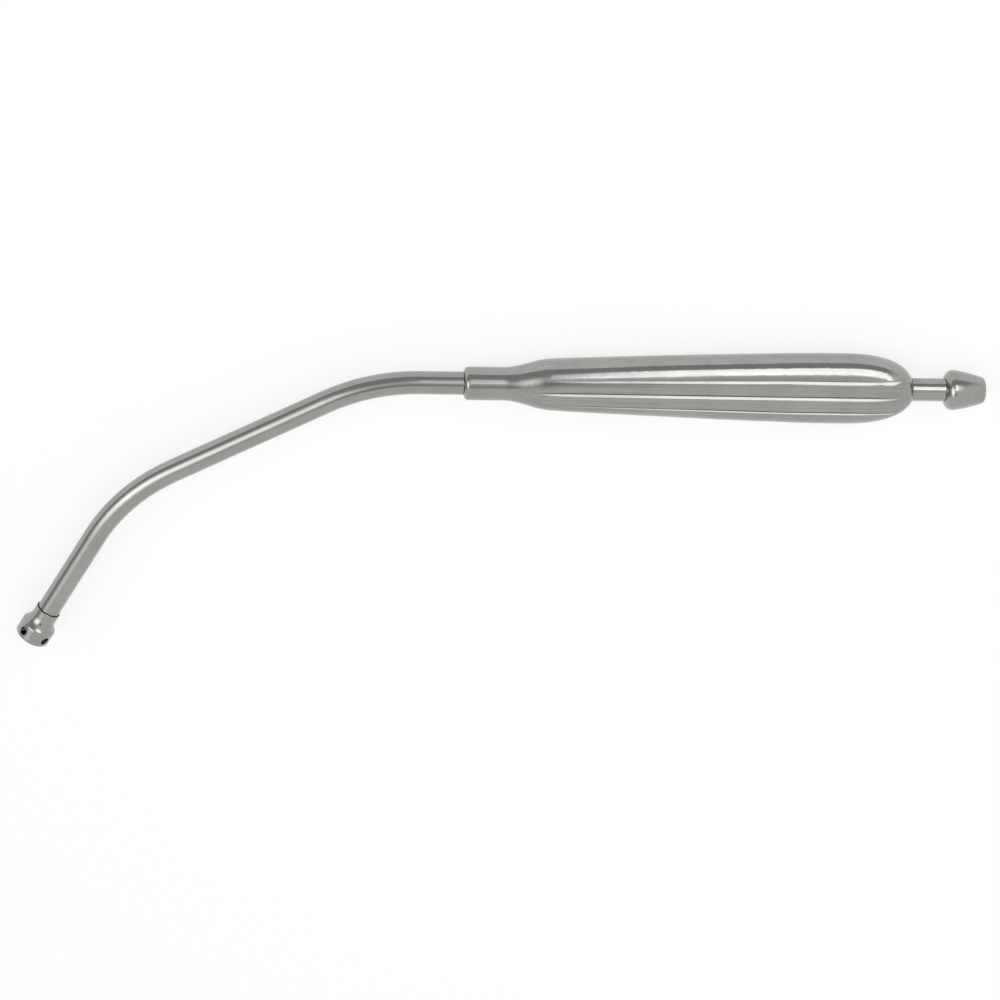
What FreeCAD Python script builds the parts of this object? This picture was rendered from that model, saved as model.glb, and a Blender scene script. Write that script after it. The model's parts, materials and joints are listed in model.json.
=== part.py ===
import FreeCAD, Part
import math
import os

import Sketcher
from FreeCAD import Placement, Rotation, Vector

# A stainless suction tube for the mouth and throat. One long tube, bent twice, runs from a screwed-on
# perforated tip, through a hollow fluted handle, to a turned connector for the suction hose.
# The origin is the centre of the connector's open end. +X leaves the connector along the handle,
# the bends lie in the XY plane and turn the tip towards -Y, and +Z is square to a broad handle face.
# Lengths are in millimetres and angles in degrees.

# Driving dimensions
SIZES = {
    # The tube: its section, its three straight stretches measured between corners, and its two bends
    "tube_diameter": 6.55,
    "tube_wall": 0.8,
    "rear_reach": 174.95,
    "middle_run": 78.65,
    "tip_run": 44.3,
    "rear_bend_angle": 28.05,
    "front_bend_angle": 33.0,
    "rear_bend_radius": 55.1,
    "front_bend_radius": 54.1,
    # The threaded spigot turned on the tube's end, which the tip screws on to
    "spigot_diameter": 6.0,
    "spigot_length": 4.6,
    "thread_clearance": 0.04,
    "seam_gap": 0.08,
    "socket_end_gap": 0.3,
    # The perforated tip
    "collar_diameter": 7.3,
    "collar_length": 2.6,
    "flare_radius": 4.6,
    "bulb_shoulder_radius": 0.9,
    "bulb_diameter": 10.2,
    "head_length": 10.7,
    "head_floor": 1.5,
    "head_chamber_diameter": 5.4,
    "end_hole_diameter": 3.6,
    "side_hole_diameter": 2.4,
    "side_hole_count": 4,
    "side_hole_distance": 8.4,
    "side_hole_turn": 48.0,
    "side_hole_edge_break": 0.2,
    "bulb_rim_radius": 0.7,
    "collar_edge_break": 0.2,
    # The handle's outline, seen square to its broad face and from its side
    "handle_rear": 21.2,
    "dome_reach": 20.05,
    "dome_overrun": 0.6,
    "dome_width_fullness": 2.3,
    "dome_depth_fullness": 4.0,
    "barrel_corner_weight": 0.99,
    "full_width_length": 4.0,
    "taper_length": 78.95,
    "taper_curve": 1.4,
    "swell_length": 13.9,
    "neck_length": 11.2,
    "neck_diameter": 9.5,
    "neck_edge_radius": 1.45,
    "handle_width": 20.9,
    "handle_front_width": 14.7,
    "barrel_depth": 13.2,
    "barrel_front_depth": 12.3,
    "sheet_thickness": 0.8,
    "braze_gap": 0.03,
    # The three flutes pressed into each broad face: the heights of their floors over the handle's
    # middle plane and their spacing, at the full handle and where its taper starts, and their flanks
    "middle_floor": 6.05,
    "side_floor": 5.65,
    "front_middle_floor": 5.7,
    "front_side_floor": 5.45,
    "groove_spacing": 5.02,
    "front_groove_spacing": 3.9,
    "flank_slope": 30.0,
    "flank_reach": 1.75,
    "flank_radius": 4.5,
    "deep_groove_length": 37.7,
    "rear_dip_length": 12.0,
    "rear_side_dip": 1.5,
    "front_side_dip": 1.2,
    # The hose connector
    "olive_length": 11.5,
    "olive_base_diameter": 12.1,
    "olive_nose_diameter": 7.05,
    "olive_flank_radius": 45.0,
    "olive_base_radius": 2.4,
    "olive_nose_radius": 1.1,
    "olive_bore_diameter": 4.2,
    "olive_mouth_length": 4.0,
    "olive_mouth_chamfer": 0.2,
}


def make_sheet(doc):
    """Write every driving dimension into the spreadsheet under its own alias."""
    sheet = doc.addObject("Spreadsheet::Sheet", "Sizes")
    for row, (alias, value) in enumerate(SIZES.items(), start=1):
        sheet.set(f"A{row}", alias)
        sheet.set(f"B{row}", str(value))
        sheet.setAlias(f"B{row}", alias)
    doc.recompute()
    return sheet


def size(alias):
    """Read one driving dimension from the spreadsheet."""
    return float(FreeCAD.ActiveDocument.getObject("Sizes").get(alias))


def new_body(doc, label):
    body = doc.addObject("PartDesign::Body", label)
    body.Label = label
    return body


def origin_plane(body, role):
    return next(plane for plane in body.Origin.OriginFeatures if plane.Role == role)


def new_sketch(body, name, role, offset=None):
    """Attach an empty sketch to one of the body's own origin planes."""
    sketch = body.newObject("Sketcher::SketchObject", name)
    sketch.AttachmentSupport = [(origin_plane(body, role), "")]
    sketch.MapMode = "FlatFace"
    if offset is not None:
        sketch.AttachmentOffset = offset
    return sketch


def bind_point(sketch, edge, end, across, up):
    """Hold one end of a sketch edge at a place given by two spreadsheet expressions."""
    for kind, expression in (("DistanceX", across), ("DistanceY", up)):
        value = float(sketch.evalExpression(expression))
        index = sketch.addConstraint(Sketcher.Constraint(kind, -1, 1, edge, end, value))
        sketch.setExpression(f"Constraints[{index}]", expression)


def arc_middle(start, end, radius, side):
    """Middle of an arc whose centre lies to the left of its way where side is 1, or to the right at -1."""
    chord = end - start
    across = Vector(-chord.y, chord.x, 0).normalize() * side
    drop = math.sqrt(radius ** 2 - (chord.Length / 2) ** 2)
    return (start + end) / 2 + across * (drop - radius)


def outline(sketch, corners, curves=None):
    """Draw a closed outline through corners given as pairs of expressions.

    curves gives the radius expression and the side of the centre of each edge that is an arc, by
    the number of its first corner.
    """
    curves = curves or {}
    places = [Vector(*(float(sketch.evalExpression(part)) for part in corner)) for corner in corners]
    for i, start in enumerate(places):
        end = places[(i + 1) % len(places)]
        if i in curves:
            expression, side = curves[i]
            middle = arc_middle(start, end, float(sketch.evalExpression(expression)), side)
            sketch.addGeometry(Part.Arc(start, middle, end), False)
        else:
            sketch.addGeometry(Part.LineSegment(start, end), False)
    for i, corner in enumerate(corners):
        first, last = end_numbers(sketch, i, places[i])[0], end_numbers(sketch, i - 1, places[i])[0]
        sketch.addConstraint(Sketcher.Constraint("Coincident", i, first, (i - 1) % len(corners), last))
        bind_point(sketch, i, first, *corner)
    for i, (expression, _) in curves.items():
        radius = float(sketch.evalExpression(expression))
        index = sketch.addConstraint(Sketcher.Constraint("Radius", i, radius))
        sketch.setExpression(f"Constraints[{index}]", expression)


def end_numbers(sketch, edge, place):
    """The end numbers of a sketch edge, 1 for its start and 2 for its end, nearest to place first."""
    edge %= len(sketch.Geometry)
    return sorted((1, 2), key=lambda end: (sketch.getPoint(edge, end) - place).Length)


def ring(sketch, diameters):
    """Draw concentric circles about the sketch's origin, one for each diameter expression."""
    for i, expression in enumerate(diameters):
        radius = float(sketch.evalExpression(expression)) / 2
        sketch.addGeometry(Part.Circle(Vector(), Vector(0, 0, 1), radius), False)
        sketch.addConstraint(Sketcher.Constraint("Coincident", i, 3, -1, 1))
        index = sketch.addConstraint(Sketcher.Constraint("Diameter", i, 2 * radius))
        sketch.setExpression(f"Constraints[{index}]", expression)


def place_circle(sketch, distance, diameter):
    """Draw one circle on the sketch's horizontal axis at a distance from its origin."""
    centre, radius = float(sketch.evalExpression(distance)), float(sketch.evalExpression(diameter)) / 2
    sketch.addGeometry(Part.Circle(Vector(centre, 0, 0), Vector(0, 0, 1), radius), False)
    bind_point(sketch, 0, 3, distance, "0")
    index = sketch.addConstraint(Sketcher.Constraint("Diameter", 0, 2 * radius))
    sketch.setExpression(f"Constraints[{index}]", diameter)


def turn(body, name, sketch, kind="PartDesign::Revolution"):
    """Turn a sketch through a full circle about its own horizontal axis."""
    feature = body.newObject(kind, name)
    feature.Profile = sketch
    feature.ReferenceAxis = (sketch, ["H_Axis"])
    feature.Angle = 360.0
    return feature


def ring_edges(shape, place, radius):
    """Names of the circular edges about the X axis at a place along it and with a radius."""
    names = []
    for number, edge in enumerate(shape.Edges, start=1):
        ends = [vertex.Point for vertex in edge.Vertexes]
        if all(math.isclose(end.x, place, abs_tol=1e-4) for end in ends):
            if all(math.isclose(math.hypot(end.y, end.z), radius, abs_tol=1e-4) for end in ends):
                names.append(f"Edge{number}")
    return names


def hole_mouths(shape, place, radius):
    """Names of the edges where holes centred at a place along the X axis open through a round outside."""
    names = []
    for number, edge in enumerate(shape.Edges, start=1):
        points = edge.discretize(8)
        outside = all(math.isclose(math.hypot(point.y, point.z), radius, abs_tol=1e-3) for point in points)
        middle = (min(point.x for point in points) + max(point.x for point in points)) / 2
        if outside and edge.Closed and math.isclose(middle, place, abs_tol=0.1):
            names.append(f"Edge{number}")
    return names


def dress(body, name, kind, base, edges, expression):
    """Round or chamfer named edges of a feature by the size that an expression gives."""
    feature = body.newObject(kind, name)
    feature.Base = (base, edges)
    feature.setExpression("Radius" if kind.endswith("Fillet") else "Size", expression)
    FreeCAD.ActiveDocument.recompute()
    return feature


def route():
    """Corners of the tube's centreline, from its rear end to its seat for the tip."""
    first_turn = math.radians(size("rear_bend_angle"))
    second_turn = first_turn + math.radians(size("front_bend_angle"))
    rear_end = Vector(-size("olive_mouth_length"), 0, 0)
    rear_corner = Vector(-size("rear_reach"), 0, 0)
    middle_way = Vector(-math.cos(first_turn), -math.sin(first_turn), 0)
    tip_way = Vector(-math.cos(second_turn), -math.sin(second_turn), 0)
    front_corner = rear_corner + middle_way * size("middle_run")
    tip_seat = front_corner + tip_way * size("tip_run")
    return rear_end, rear_corner, front_corner, tip_seat, tip_way


def bend(before, corner, after, radius):
    """The ends and the middle of the arc that rounds a corner of the route."""
    back = (before - corner).normalize()
    ahead = (after - corner).normalize()
    half = back.getAngle(ahead) / 2
    setback = radius / math.tan(half)
    inward = (back + ahead).normalize()
    middle = corner + inward * (radius / math.sin(half) - radius)
    return corner + back * setback, middle, corner + ahead * setback


def route_sketch(body):
    """The centreline as one sketch: three straight runs joined by two tangent arcs."""
    rear_end, rear_corner, front_corner, tip_seat, tip_way = route()
    tube_end = tip_seat + tip_way * size("spigot_length")
    rear_arc = bend(rear_end, rear_corner, front_corner, size("rear_bend_radius"))
    front_arc = bend(rear_corner, front_corner, tip_seat, size("front_bend_radius"))
    sketch = new_sketch(body, "Centreline", "XY_Plane")
    sketch.addGeometry(Part.LineSegment(rear_end, rear_arc[0]), False)
    sketch.addGeometry(Part.Arc(*rear_arc), False)
    sketch.addGeometry(Part.LineSegment(rear_arc[2], front_arc[0]), False)
    sketch.addGeometry(Part.Arc(*front_arc), False)
    sketch.addGeometry(Part.LineSegment(front_arc[2], tube_end), False)
    return sketch


def build_tube(doc):
    """The bent tube, with the spigot for the tip turned on its end."""
    body = new_body(doc, "suction_tube")
    centreline = route_sketch(body)
    rear_end, _, _, tip_seat, tip_way = route()
    section = new_sketch(body, "TubeSection", "YZ_Plane", Placement(Vector(0, 0, rear_end.x), Rotation()))
    section.setExpression("AttachmentOffset.Base.z", "-Sizes.olive_mouth_length")
    ring(section, ["Sizes.tube_diameter", "Sizes.tube_diameter - 2 * Sizes.tube_wall"])
    doc.recompute()
    pipe = body.newObject("PartDesign::AdditivePipe", "BentTube")
    pipe.Profile = section
    pipe.Spine = (centreline, [f"Edge{number}" for number in range(1, 6)])
    doc.recompute()
    # The relief sketch's horizontal axis lies along the tube's last run, and starts at the seat
    heading = math.degrees(math.atan2(tip_way.y, tip_way.x))
    lie = Placement(tip_seat, Rotation(Vector(0, 0, 1), heading))
    relief = new_sketch(body, "SpigotRelief", "XY_Plane", lie)
    outline(relief, [
        ("0", "Sizes.spigot_diameter / 2"),
        ("Sizes.spigot_length + 1", "Sizes.spigot_diameter / 2"),
        ("Sizes.spigot_length + 1", "Sizes.tube_diameter"),
        ("0", "Sizes.tube_diameter"),
    ])
    doc.recompute()
    before = pipe.Shape.Volume
    spigot = turn(body, "Spigot", relief, "PartDesign::Groove")
    doc.recompute()
    if not spigot.Shape.Volume < before:
        raise RuntimeError("the spigot's relief cut nothing from the tube")
    return body


def build_head(doc):
    """The turned tip, made along its own X axis with its seam at the origin, then set on the tube."""
    body = new_body(doc, "tip_head")
    profile = new_sketch(body, "HeadProfile", "XY_Plane")
    socket = "Sizes.spigot_diameter / 2 + Sizes.thread_clearance"
    socket_end = "Sizes.spigot_length + Sizes.socket_end_gap"
    chamber = "Sizes.head_chamber_diameter / 2"
    chamber_end = "Sizes.head_length - Sizes.head_floor"
    # The flare's hollow arc leaves the collar along its side and meets the bulb's shoulder arc tangentially
    rise = "(Sizes.bulb_diameter - Sizes.collar_diameter) / 2"
    both = "(Sizes.flare_radius + Sizes.bulb_shoulder_radius)"
    reach = f"sqrt(2 * {both} * {rise} - ({rise}) * ({rise}))"
    share = f"Sizes.flare_radius / {both}"
    outline(profile, [
        ("Sizes.seam_gap", socket),
        (socket_end, socket),
        (socket_end, chamber),
        (chamber_end, chamber),
        (chamber_end, "Sizes.end_hole_diameter / 2"),
        ("Sizes.head_length", "Sizes.end_hole_diameter / 2"),
        ("Sizes.head_length", "Sizes.bulb_diameter / 2"),
        (f"Sizes.collar_length + {reach}", "Sizes.bulb_diameter / 2"),
        (f"Sizes.collar_length + {share} * {reach}", f"Sizes.collar_diameter / 2 + {share} * {rise}"),
        ("Sizes.collar_length", "Sizes.collar_diameter / 2"),
        ("Sizes.seam_gap", "Sizes.collar_diameter / 2"),
    ], {7: ("Sizes.bulb_shoulder_radius", 1), 8: ("Sizes.flare_radius", -1)})
    doc.recompute()
    turned = turn(body, "TurnedHead", profile)
    doc.recompute()
    bulb = size("bulb_diameter") / 2
    rim = ring_edges(turned.Shape, size("head_length"), bulb)
    rounded = dress(body, "BulbRim", "PartDesign::Fillet", turned, rim, "Sizes.bulb_rim_radius")
    seam = ring_edges(rounded.Shape, size("seam_gap"), size("collar_diameter") / 2)
    broken = dress(body, "CollarEdge", "PartDesign::Chamfer", rounded, seam, "Sizes.collar_edge_break")
    hole = new_sketch(body, "SideHole", "XY_Plane", Placement(Vector(), Rotation()))
    hole.setExpression("AttachmentOffset.Rotation.Axis.x", "1")
    hole.setExpression("AttachmentOffset.Rotation.Axis.z", "0")
    hole.setExpression("AttachmentOffset.Rotation.Angle", "Sizes.side_hole_turn")
    place_circle(hole, "Sizes.side_hole_distance", "Sizes.side_hole_diameter")
    drilled = body.newObject("PartDesign::Pocket", "SideHolePocket")
    drilled.Profile = hole
    drilled.Reversed = True
    drilled.setExpression("Length", "Sizes.bulb_diameter")
    doc.recompute()
    if not drilled.Shape.Volume < broken.Shape.Volume:
        raise RuntimeError("the side hole cut nothing from the tip")
    around = body.newObject("PartDesign::PolarPattern", "SideHoles")
    around.Originals = [drilled]
    around.Axis = (profile, ["H_Axis"])
    around.Angle = 360.0
    around.setExpression("Occurrences", "Sizes.side_hole_count")
    body.Tip = around
    doc.recompute()
    mouths = hole_mouths(around.Shape, size("side_hole_distance"), bulb)
    dress(body, "SideHoleEdges", "PartDesign::Chamfer", around, mouths, "Sizes.side_hole_edge_break")
    _, _, _, tip_seat, tip_way = route()
    body.Placement = Placement(tip_seat, Rotation(Vector(0, 0, 1), math.degrees(math.atan2(tip_way.y, tip_way.x))))
    return body


def build_connector(doc):
    """The turned connector: an olive for the hose, bored as a socket for the tube's rear end."""
    body = new_body(doc, "hose_connector")
    profile = new_sketch(body, "ConnectorProfile", "XY_Plane")
    socket = "Sizes.tube_diameter / 2 + Sizes.braze_gap"
    outline(profile, [
        ("-Sizes.olive_length", socket),
        ("-Sizes.olive_mouth_length", socket),
        ("-Sizes.olive_mouth_length", "Sizes.olive_bore_diameter / 2"),
        ("0", "Sizes.olive_bore_diameter / 2"),
        ("0", "Sizes.olive_nose_diameter / 2"),
        ("-Sizes.olive_length", "Sizes.olive_base_diameter / 2"),
    ], {4: ("Sizes.olive_flank_radius", 1)})
    doc.recompute()
    turned = turn(body, "TurnedConnector", profile)
    doc.recompute()
    base = ring_edges(turned.Shape, -size("olive_length"), size("olive_base_diameter") / 2)
    rounded = dress(body, "BaseRounding", "PartDesign::Fillet", turned, base, "Sizes.olive_base_radius")
    nose = ring_edges(rounded.Shape, 0, size("olive_nose_diameter") / 2)
    rounded = dress(body, "NoseRounding", "PartDesign::Fillet", rounded, nose, "Sizes.olive_nose_radius")
    mouth = ring_edges(rounded.Shape, 0, size("olive_bore_diameter") / 2)
    dress(body, "MouthChamfer", "PartDesign::Chamfer", rounded, mouth, "Sizes.olive_mouth_chamfer")
    return body


class HandleForm:
    """Half sizes of the handle's rounded outline at any place along it, before its faces are pressed.

    inset is 0 for the outside of the sheet, and the sheet's thickness for its inside.
    """

    def __init__(self, inset):
        self.inset = inset
        self.dome_tip = size("dome_overrun") - size("handle_rear") - inset
        self.dome_start = size("dome_overrun") - size("handle_rear") - size("dome_reach")
        self.taper_end = self.dome_start - size("full_width_length")
        self.taper_start = self.taper_end - size("taper_length")
        self.swell_start = self.taper_start - size("swell_length")
        self.rear = -size("handle_rear") - inset

    def half(self, place, front, full, fullness):
        """Half of the outline at a place, where front and full are its sizes before and after the taper.

        fullness is the power of the dome's curve: 2 is an ellipse, and more is squarer.
        """
        if place <= self.taper_start:
            share = max(0.0, (place - self.swell_start) / (self.taper_start - self.swell_start))
            rise = (1 - math.cos(math.pi * share)) / 2
            whole = size("neck_diameter") + (front - size("neck_diameter")) * rise
            return whole / 2 - self.inset
        if place <= self.dome_start:
            share = min(1.0, (place - self.taper_start) / (self.taper_end - self.taper_start))
            whole = front + (full - front) * (1 - (1 - share) ** size("taper_curve"))
            return whole / 2 - self.inset
        share = (place - self.dome_start) / (self.dome_tip - self.dome_start)
        return (full / 2 - self.inset) * (1 - share ** fullness) ** (1 / fullness)

    def section(self, place):
        """The closed oval outline at one place along the handle."""
        widths = size("handle_front_width"), size("handle_width"), size("dome_width_fullness")
        depths = size("barrel_front_depth"), size("barrel_depth"), size("dome_depth_fullness")
        half_width = self.half(place, *widths)
        half_depth = self.half(place, *depths)
        poles, weights = [], []
        for across, up in ((1, 0), (1, 1), (0, 1), (-1, 1), (-1, 0), (-1, -1), (0, -1), (1, -1), (1, 0)):
            poles.append(Vector(place, across * half_width, up * half_depth))
            weights.append(self.corner_weight(place) if across and up else 1.0)
        oval = Part.BSplineCurve()
        oval.buildFromPolesMultsKnots(poles, [3, 2, 2, 2, 3], [0, 1, 2, 3, 4], False, 2, weights)
        return Part.Wire([oval.toShape()])

    def corner_weight(self, place):
        """How far the section's four arcs lean to their corners: the neck's are a circle's."""
        share = (place - self.swell_start) / (self.taper_start - self.swell_start)
        circle = math.cos(math.pi / 4)
        return circle + (size("barrel_corner_weight") - circle) * min(1.0, max(0.0, share))

    def places(self, swell_steps, taper_steps, dome_steps):
        """Places of the sections: even along the swell and the taper, closer towards the dome's end."""
        swell_reach = self.taper_start - self.swell_start
        taper_reach = self.dome_start - self.taper_start
        dome_reach = self.dome_tip - self.dome_start
        last = math.asin((self.rear - self.dome_start) / dome_reach)
        swell = [self.swell_start + swell_reach * i / swell_steps for i in range(swell_steps)]
        taper = [self.taper_start + taper_reach * i / taper_steps for i in range(taper_steps)]
        dome = [self.dome_start + dome_reach * math.sin(last * i / dome_steps) for i in range(dome_steps + 1)]
        return swell + taper + dome

    def smooth_solid(self):
        """The outline as one smooth surface, for what is seen."""
        return Part.makeLoft([self.section(place) for place in self.places(5, 4, 6)], True, False)

    def stepped_solid(self):
        """The outline as a few straight-sided spans, for the closed hollow."""
        return Part.makeLoft([self.section(place) for place in self.places(3, 2, 4)], True, True)


def flute(centre, floor):
    """Corners of one flute, from its left lip over its root to its right lip, clear above the oval."""
    reach = size("flank_reach")
    rise = reach * math.tan(math.radians(size("flank_slope")))
    return [Vector(0, centre - reach, floor + rise), Vector(0, centre, floor), Vector(0, centre + reach, floor + rise)]


def flank(start, end):
    """One flank of a flute: an arc that swells into the flute, so that the land beside it is round."""
    chord = end - start
    out = Vector(0, -chord.z, chord.y).normalize()
    drop = math.sqrt(size("flank_radius") ** 2 - (chord.Length / 2) ** 2)
    return Part.Arc(start, (start + end) / 2 + out * (size("flank_radius") - drop), end).toShape()


def face_profile(place, deep, dip, inset, bottom):
    """Outline of the space under one broad face.

    deep is 1 at the full grooves and 0 at the front, and dip is how far the side flutes have sunk.
    """
    def between(front, full):
        return front + (full - front) * deep

    spacing = between(size("front_groove_spacing"), size("groove_spacing"))
    middle_floor = between(size("front_middle_floor"), size("middle_floor"))
    side_floor = between(size("front_side_floor"), size("side_floor")) - dip
    far = size("handle_width") / 2 + 1
    roof = size("barrel_depth") / 2 + 1
    move = Vector(place, 0, -inset)
    flutes = [flute(-spacing, side_floor), flute(0, middle_floor), flute(spacing, side_floor)]
    edges = []
    last = Vector(0, -far, bottom + inset)
    for left, root, right in flutes:
        for corner in (Vector(0, last.y, roof), Vector(0, left.y, roof), left):
            edges.append(Part.makeLine(last + move, corner + move))
            last = corner
        edges.append(flank(left + move, root + move))
        edges.append(flank(root + move, right + move))
        last = right
    for corner in (Vector(0, last.y, roof), Vector(0, far, roof), Vector(0, far, bottom + inset)):
        edges.append(Part.makeLine(last + move, corner + move))
        last = corner
    edges.append(Part.makeLine(last + move, Vector(0, -far, bottom + inset) + move))
    return Part.Wire(edges)


def face_die(form, bottom):
    """The space under one pressed broad face, whose grooves spread and deepen along the taper."""
    deep_start = form.dome_start - size("deep_groove_length") + size("dome_reach")
    ends = form.swell_start - size("neck_length") - 1, form.dome_tip + 1
    dip_start = ends[1] - size("rear_dip_length")
    stations = [
        (ends[0], 0.0, size("front_side_dip")),
        (form.swell_start, 0.0, size("front_side_dip")),
        (form.taper_start, 0.0, 0.0),
        (deep_start, 1.0, 0.0),
        (dip_start, 1.0, 0.0),
        (ends[1], 1.0, size("rear_side_dip")),
    ]
    wires = [face_profile(place, deep, dip, form.inset, bottom) for place, deep, dip in stations]
    return Part.makeLoft(wires, True, True)


def half_shell():
    """One pressed half of the hollow handle, above its middle plane, with half of the neck."""
    outside, inside = HandleForm(0.0), HandleForm(size("sheet_thickness"))
    along = Vector(1, 0, 0)
    neck_start = Vector(outside.swell_start - size("neck_length"), 0, 0)
    neck = Part.makeCylinder(size("neck_diameter") / 2, size("neck_length"), neck_start, along)
    front_edges = [edge for edge in neck.Edges if edge.Closed and edge.CenterOfMass.x < neck_start.x + 0.01]
    neck = neck.makeFillet(size("neck_edge_radius"), front_edges)
    block = outside.smooth_solid().fuse(neck).common(face_die(outside, 0.0))
    hollow = inside.stepped_solid().common(face_die(inside, -1.0))
    bore_radius = size("tube_diameter") / 2 + size("braze_gap")
    bore_length = outside.dome_tip - neck_start.x + 2
    bore = Part.makeCylinder(bore_radius, bore_length, neck_start - along, along)
    return block.cut(hollow).cut(bore)


def build_shell(doc, label, turned_over):
    """One half of the handle: both halves are the same pressing, and one is turned over."""
    shell = doc.addObject("Part::Feature", label)
    shell.Label = label
    shape = half_shell()
    shell.Shape = shape.Solids[0] if len(shape.Solids) == 1 else shape
    shell.Placement = Placement(Vector(), Rotation(Vector(1, 0, 0), 180 if turned_over else 0))
    return shell


def check(sub_parts):
    """Stop if any object failed, or if a sub-part is not one valid solid."""
    for item in FreeCAD.ActiveDocument.Objects:
        if {"Invalid", "Error"} & set(item.State):
            raise RuntimeError(f"{item.Name} failed: {item.State}")
    for item in sub_parts:
        shape = item.Shape
        if shape.isNull() or not shape.isValid() or len(shape.Solids) != 1:
            raise RuntimeError(f"{item.Label} is not one valid solid")
        print(item.Label, round(shape.Volume, 2), "mm3")


def main():
    os.makedirs("parts", exist_ok=True)
    doc = FreeCAD.newDocument("SuctionTube")
    make_sheet(doc)
    sub_parts = [
        build_tube(doc),
        build_head(doc),
        build_connector(doc),
        build_shell(doc, "handle_shell_upper", False),
        build_shell(doc, "handle_shell_lower", True),
    ]
    doc.recompute()
    check(sub_parts)
    for item in sub_parts:
        item.Shape.exportStep(os.path.join("parts", item.Label + ".step"))


main()
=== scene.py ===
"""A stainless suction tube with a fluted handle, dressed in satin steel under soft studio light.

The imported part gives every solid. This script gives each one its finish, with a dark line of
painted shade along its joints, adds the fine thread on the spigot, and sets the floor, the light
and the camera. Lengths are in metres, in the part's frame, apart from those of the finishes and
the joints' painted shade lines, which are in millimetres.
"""

import json
import logging
import math
from dataclasses import dataclass, field
from enum import Enum

import bmesh
import bpy
from mathutils import Matrix, Vector

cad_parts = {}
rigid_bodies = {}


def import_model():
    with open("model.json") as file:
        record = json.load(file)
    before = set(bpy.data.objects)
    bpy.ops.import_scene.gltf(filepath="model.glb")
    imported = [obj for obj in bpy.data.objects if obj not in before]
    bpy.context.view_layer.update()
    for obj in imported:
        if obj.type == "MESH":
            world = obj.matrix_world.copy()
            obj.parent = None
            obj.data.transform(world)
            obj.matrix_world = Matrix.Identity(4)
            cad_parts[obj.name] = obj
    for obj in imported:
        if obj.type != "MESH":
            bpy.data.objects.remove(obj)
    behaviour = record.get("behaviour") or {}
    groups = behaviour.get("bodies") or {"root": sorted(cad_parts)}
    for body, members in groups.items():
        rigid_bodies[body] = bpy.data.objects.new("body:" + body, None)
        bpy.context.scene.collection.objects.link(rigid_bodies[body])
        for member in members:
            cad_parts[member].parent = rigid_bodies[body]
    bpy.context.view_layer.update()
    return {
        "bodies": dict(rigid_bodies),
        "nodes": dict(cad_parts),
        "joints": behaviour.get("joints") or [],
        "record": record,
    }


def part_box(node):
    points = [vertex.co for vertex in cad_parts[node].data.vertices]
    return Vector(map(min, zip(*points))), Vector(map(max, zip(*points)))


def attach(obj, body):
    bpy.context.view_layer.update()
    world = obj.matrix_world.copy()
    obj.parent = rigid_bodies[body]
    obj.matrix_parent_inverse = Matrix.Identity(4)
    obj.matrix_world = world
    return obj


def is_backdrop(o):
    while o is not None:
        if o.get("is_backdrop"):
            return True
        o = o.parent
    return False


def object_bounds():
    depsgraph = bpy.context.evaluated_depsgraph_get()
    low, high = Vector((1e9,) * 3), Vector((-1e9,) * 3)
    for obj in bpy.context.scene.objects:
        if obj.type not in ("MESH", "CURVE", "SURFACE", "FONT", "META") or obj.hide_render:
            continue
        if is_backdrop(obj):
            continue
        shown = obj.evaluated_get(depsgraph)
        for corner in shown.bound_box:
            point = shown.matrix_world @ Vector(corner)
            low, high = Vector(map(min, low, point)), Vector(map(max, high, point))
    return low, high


LOG = logging.getLogger("suction_tube")

INSTRUMENT_BODY = "instrument"
MILLIMETRE = 0.001

HANDLE_WAY = Vector((1, 0, 0))
UP = Vector((0, 0, 1))

# Used in place of 1 under a root, so that the root is over 0 straight up and straight down
JUST_OVER_ONE = 1.0001

FLOAT = "NodeSocketFloat"
VECTOR = "NodeSocketVector"
COLOUR = "NodeSocketColor"

Triple = tuple[float, float, float]
Range = tuple[float, float]


class Grain(Enum):
    """Which way a surface was finished, seen as the direction that its fine lines follow."""

    ALONG_TUBE = "along_tube"
    ALONG_HANDLE = "along_handle"
    ROUND_TIP = "round_tip"
    ROUND_CONNECTOR = "round_connector"


@dataclass(frozen=True)
class TipLine:
    """The line that the tip lies on, read from the joint that unscrews it."""

    start: Vector
    along: Vector

    @classmethod
    def from_frame(cls, frame: dict) -> "TipLine":
        """Find the line of the tip's axis.


        Returns:
            The line, which starts at the tip's seam on the tube.
        """
        joint = frame["record"]["behaviour"]["joints"][0]
        along = Vector(joint["axis"]).normalized()
        low, high = (Vector(corner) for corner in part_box("tip_head"))
        middle = (low + high) / 2
        points = [vertex.co for vertex in frame["nodes"]["tip_head"].data.vertices]
        nearest = min(point.dot(along) for point in points)
        return cls(middle + along * (nearest - middle.dot(along)), along)


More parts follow.
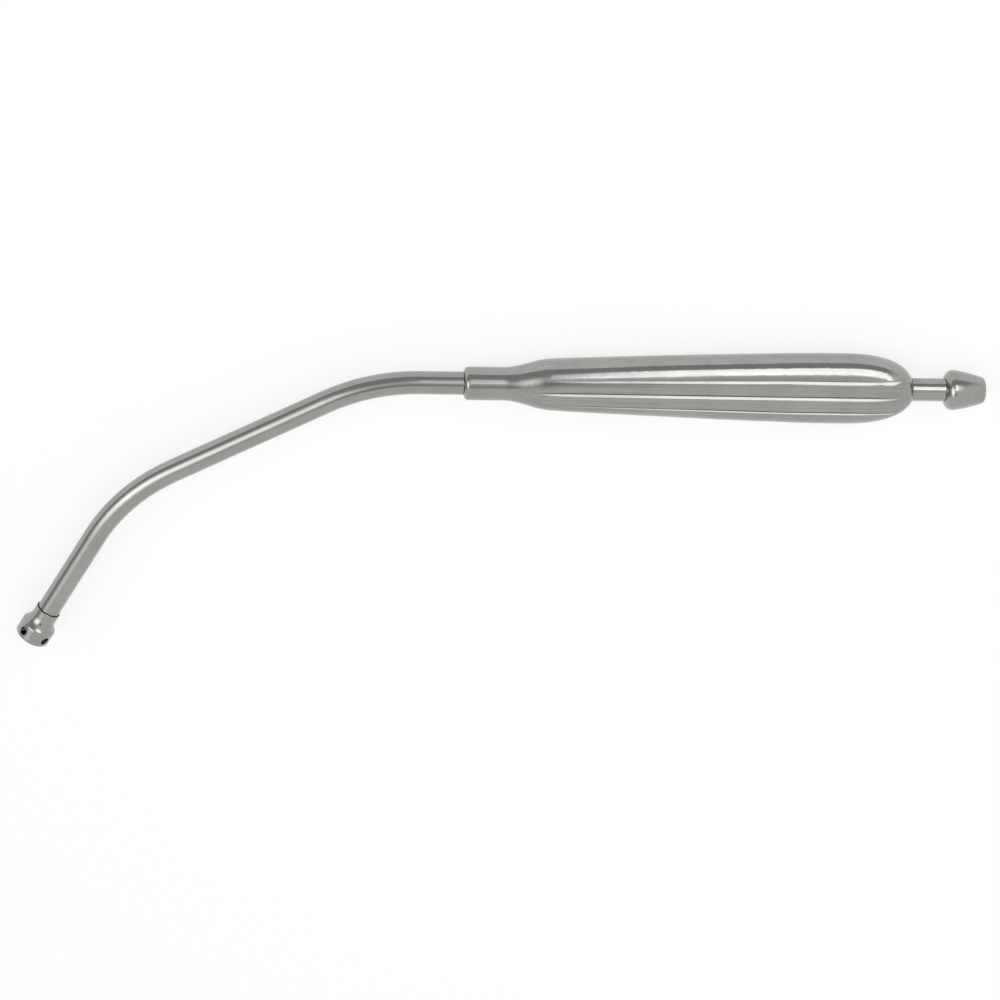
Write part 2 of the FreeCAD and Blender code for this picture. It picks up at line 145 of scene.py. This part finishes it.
class Shading:
    """Short ways to add nodes to one tree."""

    def __init__(self, tree: bpy.types.NodeTree) -> None:
        """Keep the tree that the nodes go into."""
        self.tree = tree

    def add(self, kind: str, **settings: object) -> bpy.types.Node:
        """Add one node.

        Args:
            kind: The node's type name.
            settings: Properties to set on it.

        Returns:
            The new node.
        """
        node = self.tree.nodes.new(kind)
        for name, value in settings.items():
            setattr(node, name, value)
        return node

    def plug(self, value: object, socket: bpy.types.NodeSocket) -> None:
        """Feed a socket.

        Args:
            value: A socket to link to it, or the number, vector or colour to set on it.
            socket: The socket that is fed.
        """
        if isinstance(value, bpy.types.NodeSocket):
            self.tree.links.new(value, socket)
        else:
            socket.default_value = value

    def math(self, operation: str, *values: object) -> bpy.types.NodeSocket:
        """Work out one number.

        Args:
            operation: The name of the operation.
            values: Its inputs, as sockets or numbers.

        Returns:
            The result's socket.
        """
        node = self.add("ShaderNodeMath", operation=operation)
        for value, socket in zip(values, node.inputs):
            self.plug(value, socket)
        return node.outputs[0]

    def vector(self, operation: str, *values: object) -> bpy.types.Node:
        """Work with vectors.

        Args:
            operation: The name of the operation.
            values: Its inputs, as sockets or vectors.

        Returns:
            The node, whose result is in its Vector or Value output.
        """
        node = self.add("ShaderNodeVectorMath", operation=operation)
        for value, socket in zip(values, node.inputs):
            self.plug(value, socket)
        return node

    def along(self, place: bpy.types.NodeSocket, way: Vector) -> bpy.types.NodeSocket:
        """How far a place lies along a direction."""
        return self.vector("DOT_PRODUCT", place, tuple(way)).outputs["Value"]

    def join(self, *parts: object) -> bpy.types.NodeSocket:
        """Make a vector.

        Args:
            parts: Its three numbers, as sockets or numbers.

        Returns:
            The vector's socket.
        """
        node = self.add("ShaderNodeCombineXYZ")
        for part, socket in zip(parts, node.inputs):
            self.plug(part, socket)
        return node.outputs[0]

    def soft_step(
        self, value: object, start: object, end: object, low: float = 0.0, high: float = 1.0
    ) -> bpy.types.NodeSocket:
        """Ease from one number to another while a value rises.

        Args:
            value: The value that rises, as a socket.
            start: Where the change begins, as a socket or a number.
            end: Where the change is over, as a socket or a number.
            low: The result up to the start.
            high: The result from the end on.

        Returns:
            The result's socket.
        """
        node = self.add("ShaderNodeMapRange", interpolation_type="SMOOTHSTEP", clamp=True)
        for part, socket in zip((value, start, end, low, high), node.inputs):
            self.plug(part, socket)
        return node.outputs[0]

    def noise(self, place: object, scale: float, detail: float) -> bpy.types.NodeSocket:
        """Make even noise.

        Args:
            place: Where it is looked up, as a socket.
            scale: How many waves there are to one unit of the place.
            detail: How many finer layers are added to it.

        Returns:
            The socket of the noise, between 0 and 1.
        """
        node = self.add("ShaderNodeTexNoise")
        self.plug(place, node.inputs["Vector"])
        self.plug(scale, node.inputs["Scale"])
        self.plug(detail, node.inputs["Detail"])
        return node.outputs["Fac"]

    def blend(self, share: object, first: object, second: object) -> bpy.types.NodeSocket:
        """Mix two colours.

        Args:
            share: The second colour's share.
            first: The first colour.
            second: The second colour.

        Returns:
            The mixed colour's socket.
        """
        node = self.add("ShaderNodeMix", data_type="RGBA")
        colours = [socket for socket in node.inputs if socket.type == "RGBA"]
        self.plug(share, node.inputs[0])
        self.plug(first, colours[0])
        self.plug(second, colours[1])
        return next(socket for socket in node.outputs if socket.type == "RGBA")


class Group:
    """A node group with named inputs and outputs, built once and placed in many materials."""

    def __init__(self, name: str, inputs: dict[str, str], outputs: dict[str, str]) -> None:
        """Make the empty group.

        Args:
            name: The group's name.
            inputs: Each input's name and socket type.
            outputs: Each output's name and socket type.
        """
        self.tree = bpy.data.node_groups.new(name, "ShaderNodeTree")
        for label, kind in inputs.items():
            self.tree.interface.new_socket(label, in_out="INPUT", socket_type=kind)
        for label, kind in outputs.items():
            self.tree.interface.new_socket(label, in_out="OUTPUT", socket_type=kind)
        self.shading = Shading(self.tree)
        self.taken = self.tree.nodes.new("NodeGroupInput").outputs
        self.given = self.tree.nodes.new("NodeGroupOutput").inputs

    def place(self, shading: Shading, **values: object) -> bpy.types.Node:
        """Put the group into a material.

        Args:
            shading: The material's nodes.
            values: What goes into each input, by its name with underscores for spaces.

        Returns:
            The group's node.
        """
        node = shading.add("ShaderNodeGroup")
        node.node_tree = self.tree
        for name, value in values.items():
            shading.plug(value, node.inputs[name.replace("_", " ")])
        return node


@dataclass(frozen=True)
class FineGrain:
    """Fine parallel lines left by brushing or turning, and the few deeper scratches among them.

    The place that the group takes has its X along the lines and its Y and Z across them.
    """

    fine_scale: float = 1.0
    fine_detail: float = 3.0
    fine_share: float = 0.6
    broad_scale: float = 0.31
    broad_detail: float = 2.0
    broad_share: float = 0.4
    scratch_scale: float = 0.55
    scratch_detail: float = 2.0
    scratch_range: Range = (0.62, 0.78)

    def build(self) -> Group:
        """Make the node group.

        Returns:
            The group, which gives the lines' height and a mask of the scratches.
        """
        group = Group(
            "fine_grain",
            {"Place": VECTOR, "Line Pitch": FLOAT, "Line Length": FLOAT},
            {"Height": FLOAT, "Scratches": FLOAT},
        )
        s = group.shading
        lengthwise = s.math("DIVIDE", 1.0, group.taken["Line Length"])
        crosswise = s.math("DIVIDE", 1.0, group.taken["Line Pitch"])
        squeeze = s.join(lengthwise, crosswise, crosswise)
        place = s.vector("MULTIPLY", group.taken["Place"], squeeze).outputs["Vector"]
        fine = s.noise(place, self.fine_scale, self.fine_detail)
        fine = s.math("MULTIPLY", fine, self.fine_share)
        broad = s.noise(place, self.broad_scale, self.broad_detail)
        broad = s.math("MULTIPLY", broad, self.broad_share)
        s.plug(s.math("ADD", fine, broad), group.given["Height"])
        scratches = s.noise(place, self.scratch_scale, self.scratch_detail)
        s.plug(s.soft_step(scratches, *self.scratch_range), group.given["Scratches"])
        return group


@dataclass(frozen=True)
class SteelTone:
    """Slow change of colour and sheen over polished steel, with the dull film left by handling."""

    cloud_scale: float = 0.09
    cloud_detail: float = 3.0
    cloud_range: Range = (0.35, 0.68)
    cloud_share: float = 0.55
    speck_scale: float = 0.8
    speck_detail: float = 2.0
    speck_range: Range = (0.55, 0.75)
    speck_share: float = 0.18
    plain_share: float = 0.35

    def build(self) -> Group:
        """Make the node group.

        Returns:
            The group, which gives the colour and the roughness.
        """
        group = Group(
            "steel_tone",
            {
                "Place": VECTOR,
                "Steel": COLOUR,
                "Film": COLOUR,
                "Roughness": FLOAT,
                "Spread": FLOAT,
            },
            {"Color": COLOUR, "Roughness": FLOAT},
        )
        s = group.shading
        clouds = s.noise(group.taken["Place"], self.cloud_scale, self.cloud_detail)
        clouds = s.math("MULTIPLY", s.soft_step(clouds, *self.cloud_range), self.cloud_share)
        specks = s.noise(group.taken["Place"], self.speck_scale, self.speck_detail)
        specks = s.math("MULTIPLY", s.soft_step(specks, *self.speck_range), self.speck_share)
        share = s.math("ADD", clouds, specks)
        s.plug(s.blend(share, group.taken["Steel"], group.taken["Film"]), group.given["Color"])
        change = s.math("SUBTRACT", share, self.plain_share)
        change = s.math("MULTIPLY", change, group.taken["Spread"])
        s.plug(s.math("ADD", group.taken["Roughness"], change), group.given["Roughness"])
        return group


@dataclass(frozen=True)
class EdgeWear:
    """The brighter metal along edges, found where a rounded normal leans off the plain one."""

    lean_range: Range = (0.004, 0.05)

    def build(self) -> Group:
        """Make the node group.

        Returns:
            The group, which gives a mask of the worn edges.
        """
        group = Group("rounded_edge", {"Normal": VECTOR, "Wear": FLOAT}, {"Mask": FLOAT})
        s = group.shading
        plain = s.add("ShaderNodeNewGeometry").outputs["Normal"]
        turned = s.vector("DOT_PRODUCT", plain, group.taken["Normal"]).outputs["Value"]
        lean = s.soft_step(s.math("SUBTRACT", 1.0, turned), *self.lean_range)
        s.plug(s.math("MULTIPLY", lean, group.taken["Wear"]), group.given["Mask"])
        return group


@dataclass(frozen=True)
class JointShade:
    """Painted shade where two pieces meet: a dark line with an uneven edge, standing for the
    shadow in the gap between them.
    """

    ragged_scale: float = 1.7
    ragged_detail: float = 2.0
    full_share: float = 0.9

    def build(self) -> Group:
        """Make the node group.

        Returns:
            The group, which gives a mask of painted shade near the plane of a joint.
        """
        group = Group(
            "joint_shade",
            {"Place": VECTOR, "Joint": VECTOR, "Way": VECTOR, "Reach": FLOAT},
            {"Mask": FLOAT},
        )
        s = group.shading
        reach = group.taken["Reach"]
        offset = s.vector("SUBTRACT", group.taken["Place"], group.taken["Joint"])
        apart = s.vector("DOT_PRODUCT", offset.outputs["Vector"], group.taken["Way"])
        apart = s.math("ABSOLUTE", apart.outputs["Value"])
        ragged = s.noise(group.taken["Place"], self.ragged_scale, self.ragged_detail)
        full = s.math("MULTIPLY", s.math("MULTIPLY", ragged, reach), self.full_share)
        # The mask is painted shade: full at the joint's plane and fading out at the reach.
        s.plug(s.soft_step(apart, full, reach, 1.0, 0.0), group.given["Mask"])
        return group


@dataclass(frozen=True)
class Effects:
    """The node groups that all the steel finishes share."""

    grain: Group
    tone: Group
    edge: Group
    joint: Group

    @classmethod
    def build_all(cls) -> "Effects":
        """Make each group once, for every finish to place."""
        makers = (FineGrain(), SteelTone(), EdgeWear(), JointShade())
        return cls(*(maker.build() for maker in makers))


@dataclass(frozen=True)
class Joint:
    """A plane where two pieces meet, and how far the painted shade line reaches from it."""

    place: Vector
    way: Vector
    reach: float


@dataclass(frozen=True)
class SteelFinish:
    """One finish of stainless steel, with its lengths in millimetres."""

    name: str
    grain: Grain
    steel: Triple = (0.345, 0.345, 0.325)
    film_and_joint_shade: Triple = (0.295, 0.293, 0.27)
    worn: Triple = (0.42, 0.42, 0.405)
    streak: Triple = (0.4, 0.4, 0.385)
    streak_range: Range = (0.46, 0.6)
    streak_share: float = 0.55
    roughness: float = 0.2
    roughness_spread: float = 0.07
    scratch_roughness: float = 0.05
    line_pitch: float = 0.22
    line_length: float = 26.0
    line_depth: float = 0.022
    wrap_radius: float = 3.3
    edge_radius: float = 0.3
    edge_wear: float = 0.5
    edge_samples: int = 6
    # The colour of the painted shade laid along the joints, standing for the shadow in the gap
    # between pieces.
    joint_shade_colour: Triple = (0.03, 0.035, 0.022)
    joint_roughness: float = 0.55

    def grain_place(
        self, s: Shading, place: bpy.types.NodeSocket, tip: TipLine
    ) -> bpy.types.NodeSocket:
        """Turn a place so that its X runs along the finish's fine lines.

        Args:
            s: The material's nodes.
            place: The place in the part's frame, in millimetres.
            tip: The tip's own line.

        Returns:
            The turned place.
        """
        if self.grain is Grain.ALONG_HANDLE:
            return place
        if self.grain is Grain.ROUND_CONNECTOR:
            return s.join(0.0, s.along(place, HANDLE_WAY), 0.0)
        if self.grain is Grain.ROUND_TIP:
            return s.join(0.0, s.along(place, tip.along), 0.0)
        # The bent tube's three stretches share one diagonal, and the way round it comes from how
        # far its surface leans up or down.
        diagonal = Vector((1, 1, 0)) / math.sqrt(2)
        normal = s.add("ShaderNodeNewGeometry").outputs["Normal"]
        lean = s.math("ARCSINE", s.along(normal, UP))
        wrap = s.math("MULTIPLY", lean, self.wrap_radius)
        return s.join(s.along(place, diagonal), wrap, 0.0)

    def build(
        self, effects: Effects, tip: TipLine, joints: list[Joint]
    ) -> bpy.types.Material:
        """Make the material.

        Args:
            effects: The shared node groups.
            tip: The tip's own line.
            joints: The joints along which a dark line of painted shade is laid on it.

        Returns:
            The material.
        """
        material = bpy.data.materials.new(self.name)
        material.use_nodes = True
        s = Shading(material.node_tree)
        shader = material.node_tree.nodes["Principled BSDF"]
        shader.inputs["Metallic"].default_value = 1.0
        coordinates = s.add("ShaderNodeTexCoord").outputs["Object"]
        scale = s.vector("SCALE", coordinates)
        scale.inputs["Scale"].default_value = 1 / MILLIMETRE
        place = scale.outputs["Vector"]
        grain = effects.grain.place(
            s,
            Place=self.grain_place(s, place, tip),
            Line_Pitch=self.line_pitch,
            Line_Length=self.line_length,
        )
        tone = effects.tone.place(
            s,
            Place=place,
            Steel=(*self.steel, 1.0),
            Film=(*self.film_and_joint_shade, 1.0),
            Roughness=self.roughness,
            Spread=self.roughness_spread,
        )
        bevel = s.add("ShaderNodeBevel", samples=self.edge_samples)
        bevel.inputs["Radius"].default_value = self.edge_radius * MILLIMETRE
        edge = effects.edge.place(s, Normal=bevel.outputs["Normal"], Wear=self.edge_wear)
        streaks = s.soft_step(
            grain.outputs["Height"], *self.streak_range, 0.0, self.streak_share
        )
        colour = s.blend(streaks, tone.outputs["Color"], (*self.streak, 1.0))
        colour = s.blend(edge.outputs["Mask"], colour, (*self.worn, 1.0))
        rough = s.math("MULTIPLY", grain.outputs["Scratches"], self.scratch_roughness)
        rough = s.math("ADD", tone.outputs["Roughness"], rough)
        # Along each joint a dark line of painted shade is laid into the colour, standing for the
        # shadow in the gap between the pieces.
        for joint in joints:
            film_and_joint_shade = effects.joint.place(
                s,
                Place=place,
                Joint=tuple(joint.place),
                Way=tuple(joint.way),
                Reach=joint.reach,
            )
            dark = film_and_joint_shade.outputs["Mask"]
            colour = s.blend(dark, colour, (*self.joint_shade_colour, 1.0))
            rough = s.math("MAXIMUM", rough, s.math("MULTIPLY", dark, self.joint_roughness))
        bump = s.add("ShaderNodeBump")
        bump.inputs["Strength"].default_value = self.line_depth
        bump.inputs["Distance"].default_value = self.line_pitch * MILLIMETRE
        s.plug(grain.outputs["Height"], bump.inputs["Height"])
        s.plug(bevel.outputs["Normal"], bump.inputs["Normal"])
        s.plug(colour, shader.inputs["Base Color"])
        s.plug(rough, shader.inputs["Roughness"])
        s.plug(bump.outputs["Normal"], shader.inputs["Normal"])
        return material


DRAWN_TUBE = SteelFinish(
    "drawn_tube_steel", Grain.ALONG_TUBE, roughness=0.14, edge_radius=0.12
)
PRESSED_HANDLE = SteelFinish(
    "pressed_handle_steel",
    Grain.ALONG_HANDLE,
    roughness=0.145,
    line_depth=0.01,
    line_length=40.0,
)
TURNED_TIP = SteelFinish("turned_tip_steel", Grain.ROUND_TIP, roughness=0.17, edge_radius=0.15)
TURNED_CONNECTOR = SteelFinish(
    "turned_connector_steel", Grain.ROUND_CONNECTOR, roughness=0.17, edge_radius=0.2
)
CUT_THREAD = SteelFinish(
    "cut_thread_steel", Grain.ROUND_TIP, roughness=0.26, edge_radius=0.02, edge_wear=0.3
)


@dataclass
class SpigotThread:
    """The fine thread that the tip screws on to, as a ridge wound round the spigot.

    With the tip screwed home, its crest stands a little into the tip's wall, where the tip's own
    thread would be cut.
    """

    tip: TipLine
    pitch: float = 0.0005
    length: float = 0.0038
    first_turn: float = 0.00035
    root_radius: float = 0.00294
    crest_radius: float = 0.00317
    run_out_turns: float = 0.5
    steps_per_turn: int = 40

    def corners(self, turn: float, height: float) -> list[Vector]:
        """Find the ridge's three corners at one turn of the winding.

        Args:
            turn: Turns from the start.
            height: 1 at the full ridge and 0 where it runs out.

        Returns:
            The rear root, the crest and the front root.
        """
        across = self.tip.along.cross(UP).normalized()
        angle = 2 * math.pi * turn
        out = across * math.cos(angle) + UP * math.sin(angle)
        middle = self.tip.start + self.tip.along * (self.first_turn + turn * self.pitch)
        crest = self.root_radius + (self.crest_radius - self.root_radius) * height
        side = self.tip.along * (self.pitch / 2)
        root = middle + out * self.root_radius
        return [root - side, middle + out * crest, root + side]

    def build(self) -> bpy.types.Object:
        """Wind the ridge as one mesh, which runs out at both ends.

        Returns:
            The thread's object, which rides with the tube.
        """
        turns = self.length / self.pitch
        steps = round(turns * self.steps_per_turn)
        shape = bmesh.new()
        rings = []
        for i in range(steps + 1):
            from_end = min(i, steps - i) / self.steps_per_turn
            height = min(1.0, from_end / self.run_out_turns)
            ring = self.corners(turns * i / steps, height)
            rings.append([shape.verts.new(corner) for corner in ring])
        for ring, following in zip(rings, rings[1:]):
            for i in range(3):
                k = (i + 1) % 3
                shape.faces.new((ring[i], ring[k], following[k], following[i]))
        shape.faces.new(rings[0][::-1])
        shape.faces.new(rings[-1])
        bmesh.ops.recalc_face_normals(shape, faces=shape.faces)
        data = bpy.data.meshes.new("spigot_thread")
        shape.to_mesh(data)
        shape.free()
        thread = bpy.data.objects.new("spigot_thread", data)
        bpy.context.scene.collection.objects.link(thread)
        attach(thread, INSTRUMENT_BODY)
        return thread


@dataclass
class SuctionTube:
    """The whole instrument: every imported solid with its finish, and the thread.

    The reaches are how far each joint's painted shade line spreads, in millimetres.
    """

    nodes: dict[str, bpy.types.Object]
    tip: TipLine
    seam_reach_on_tube: float = 0.3
    seam_reach_on_tip: float = 0.1
    neck_reach: float = 0.18
    dome_reach: float = 0.12
    connector_reach: float = 0.15
    finishes: dict[str, SteelFinish] = field(
        default_factory=lambda: {
            "suction_tube": DRAWN_TUBE,
            "handle_shell_upper": PRESSED_HANDLE,
            "handle_shell_lower": PRESSED_HANDLE,
            "tip_head": TURNED_TIP,
            "hose_connector": TURNED_CONNECTOR,
        }
    )

    def joints(self, name: str) -> list[Joint]:
        """Find the joints whose painted shade line shows on a piece.

        Args:
            name: The piece's node.

        Returns:
            Its joints.
        """
        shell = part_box("handle_shell_upper")
        neck, dome = (Vector(corner) / MILLIMETRE for corner in shell)
        connector = Vector(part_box("hose_connector")[0]) / MILLIMETRE
        seam = self.tip.start / MILLIMETRE
        found = {
            "suction_tube": [
                Joint(seam, self.tip.along, self.seam_reach_on_tube),
                Joint(neck, HANDLE_WAY, self.neck_reach),
                Joint(dome, HANDLE_WAY, self.dome_reach),
                Joint(connector, HANDLE_WAY, self.connector_reach),
            ],
            "tip_head": [Joint(seam, self.tip.along, self.seam_reach_on_tip)],
        }
        return found.get(name, [])

    def build(self) -> None:
        """Dress the solids and add the thread."""
        effects = Effects.build_all()
        made: dict[str, bpy.types.Material] = {}
        for name, node in self.nodes.items():
            finish = self.finishes[name]
            if finish.name not in made:
                made[finish.name] = finish.build(effects, self.tip, self.joints(name))
            node.data.materials.clear()
            node.data.materials.append(made[finish.name])
            LOG.info("dressed %s in %s", name, finish.name)
        thread = SpigotThread(self.tip).build()
        thread.data.materials.append(CUT_THREAD.build(effects, self.tip, []))
        LOG.info("wound %s with %d faces", thread.name, len(thread.data.polygons))


@dataclass(frozen=True)
class StudioCamera:
    """The photograph's viewpoint, in the part's frame."""

    place: Triple = (-0.2105, 0.3916, 0.7441)
    right: Triple = (0.99625, 0.05209, 0.06904)
    forward: Triple = (0.08584, -0.49792, -0.86297)
    focal_pixels: float = 3000.0
    image_pixels: float = 1000.0
    sensor_width: float = 36.0
    clip_start: float = 0.05
    clip_end: float = 20.0

    def build(self) -> bpy.types.Object:
        """Create the camera and make it the scene's own.

        Returns:
            The camera object.
        """
        data = bpy.data.cameras.new("studio_camera")
        data.sensor_width = self.sensor_width
        data.lens = self.sensor_width * self.focal_pixels / self.image_pixels
        data.clip_start = self.clip_start
        data.clip_end = self.clip_end
        camera = bpy.data.objects.new("studio_camera", data)
        bpy.context.scene.collection.objects.link(camera)
        right = Vector(self.right).normalized()
        back = -Vector(self.forward).normalized()
        up = back.cross(right).normalized()
        turn = Matrix((right, up, back)).transposed().to_4x4()
        camera.matrix_world = Matrix.Translation(Vector(self.place)) @ turn
        bpy.context.scene.camera = camera
        return camera


@dataclass(frozen=True)
class Glow:
    """A round soft patch of the studio's walls, seen in one direction from the object."""

    way: Triple
    inner_degrees: float
    outer_degrees: float
    level: float

    def mask(self, s: Shading, way: bpy.types.NodeSocket) -> bpy.types.NodeSocket:
        """Mark the patch on the walls.

        Args:
            s: The world's nodes.
            way: The direction that is looked at.

        Returns:
            A mask that is 1 in the middle of the patch and 0 outside it.
        """
        turned = s.math("ARCCOSINE", s.along(way, Vector(self.way).normalized()))
        inner = math.radians(self.inner_degrees)
        outer = math.radians(self.outer_degrees)
        return s.soft_step(turned, inner, outer, 1.0, 0.0)


@dataclass(frozen=True)
class Softbox:
    """A flat soft light that faces the handle."""

    name: str
    height: float
    lean_degrees: float
    radiance: float
    width: float = 0.5
    distance: float = 0.75
    aim: Triple = (0.2, 0.0, 0.0)
    colour: Triple = (0.965, 0.98, 1.0)

    def hang(self) -> None:
        """Hang the light over the handle's far side, at its lean from straight above."""
        data = bpy.data.lights.new(self.name, "AREA")
        data.shape = "RECTANGLE"
        data.size = self.width
        data.size_y = self.height
        data.energy = self.radiance * math.pi * self.width * self.height
        data.color = self.colour
        light = bpy.data.objects.new(self.name, data)
        bpy.context.scene.collection.objects.link(light)
        lean = math.radians(self.lean_degrees)
        way = Vector((0, math.sin(lean), math.cos(lean)))
        light.location = Vector(self.aim) + way * self.distance
        light.rotation_euler = way.to_track_quat("Z", "Y").to_euler()


@dataclass
class Studio:
    """The pale floor, the soft lights and the walls round them.

    The low wall's ranges are over how far a direction turns to its side and how far it rises.
    """

    floor_half: float = 3.0
    floor_colour: float = 0.95
    floor_glow: float = 0.75
    wall_level: float = 0.92
    low_wall_colour: Triple = (0.44, 0.435, 0.47)
    low_wall_way: Triple = (-0.561, 0.828, 0.0)
    low_wall_side: Range = (0.145, 0.345)
    low_wall_height: Range = (0.625, 0.984)
    camera_gap: Glow = Glow(
        way=(-0.059, 0.067, 0.996), inner_degrees=4.0, outer_degrees=21.7, level=0.421
    )
    left_glow: Glow = Glow(
        way=(-0.633, 0.21, 0.745), inner_degrees=0.0, outer_degrees=35.0, level=2.6
    )
    softboxes: tuple[Softbox, ...] = (
        Softbox("main_softbox", height=0.42, lean_degrees=40.0, radiance=2.15),
        Softbox(
            "neck_softbox",
            height=0.36,
            lean_degrees=39.0,
            radiance=0.65,
            width=0.1,
            aim=(-0.1, 0.0, 0.0),
        ),
    )

    def floor_material(self) -> bpy.types.Material:
        """Make a pale floor that looks near white, also in the metal, and keeps a shadow.

        Returns:
            The floor's material.
        """
        material = bpy.data.materials.new("pale_floor")
        material.use_nodes = True
        tree = material.node_tree
        tree.nodes.clear()
        s = Shading(tree)
        out = s.add("ShaderNodeOutputMaterial")
        matt = s.add("ShaderNodeBsdfDiffuse")
        tint = self.floor_colour
        matt.inputs["Color"].default_value = (tint, tint, tint, 1)
        glow = s.add("ShaderNodeEmission")
        glow.inputs["Color"].default_value = (1, 1, 1, 1)
        ray = s.add("ShaderNodeLightPath").outputs
        seen = s.math("MAXIMUM", ray["Is Glossy Ray"], ray["Is Transmission Ray"])
        seen = s.math("MAXIMUM", ray["Is Camera Ray"], seen)
        mix = s.add("ShaderNodeMixShader")
        s.plug(s.math("MULTIPLY", seen, self.floor_glow), mix.inputs["Fac"])
        s.plug(matt.outputs[0], mix.inputs[1])
        s.plug(glow.outputs[0], mix.inputs[2])
        s.plug(mix.outputs[0], out.inputs["Surface"])
        return material

    def lay_floor(self) -> None:
        """Lay the floor under the lowest point of the part."""
        low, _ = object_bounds()
        half = self.floor_half
        corners = [(-half, -half), (half, -half), (half, half), (-half, half)]
        data = bpy.data.meshes.new("floor")
        data.from_pydata([(x, y, low[2]) for x, y in corners], [], [(0, 1, 2, 3)])
        floor = bpy.data.objects.new("floor", data)
        bpy.context.scene.collection.objects.link(floor)
        floor.data.materials.append(self.floor_material())
        floor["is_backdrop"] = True

    def build_walls(self) -> None:
        """Colour the world: pale walls, a dim low one, a dim gap overhead and a bright patch."""
        world = bpy.data.worlds.new("studio_world")
        bpy.context.scene.world = world
        world.use_nodes = True
        s = Shading(world.node_tree)
        way = s.add("ShaderNodeTexCoord").outputs["Generated"]
        height = s.along(way, UP)
        flat = s.math("SUBTRACT", JUST_OVER_ONE, s.math("MULTIPLY", height, height))
        flat = s.math("SQRT", flat)
        side = s.along(way, Vector(self.low_wall_way).normalized())
        side = s.math("DIVIDE", side, flat)
        low = s.soft_step(height, *self.low_wall_height, 1.0, 0.0)
        low = s.math("MULTIPLY", low, s.soft_step(side, *self.low_wall_side))
        pale = (self.wall_level, self.wall_level, self.wall_level, 1)
        colour = s.blend(low, pale, (*self.low_wall_colour, 1))
        dim = (self.camera_gap.level, self.camera_gap.level, self.camera_gap.level, 1)
        colour = s.blend(self.camera_gap.mask(s, way), colour, dim)
        level = s.math("MULTIPLY", self.left_glow.mask(s, way), self.left_glow.level)
        total = s.vector("ADD", colour, s.join(level, level, level)).outputs["Vector"]
        background = world.node_tree.nodes["Background"]
        s.plug(total, background.inputs["Color"])
        background.inputs["Strength"].default_value = 1.0

    def build(self) -> None:
        """Set up the floor, the walls and the light."""
        self.lay_floor()
        LOG.info("laid the floor")
        self.build_walls()
        LOG.info("coloured the walls")
        for softbox in self.softboxes:
            softbox.hang()
            LOG.info("hung %s", softbox.name)


def main() -> None:
    """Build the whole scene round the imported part."""
    logging.basicConfig(level=logging.INFO)
    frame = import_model()
    SuctionTube(frame["nodes"], TipLine.from_frame(frame)).build()
    Studio().build()
    camera = StudioCamera().build()
    LOG.info("placed %s", camera.name)
    bpy.context.scene.view_settings.view_transform = "Standard"


if __name__ == "__main__":
    main()
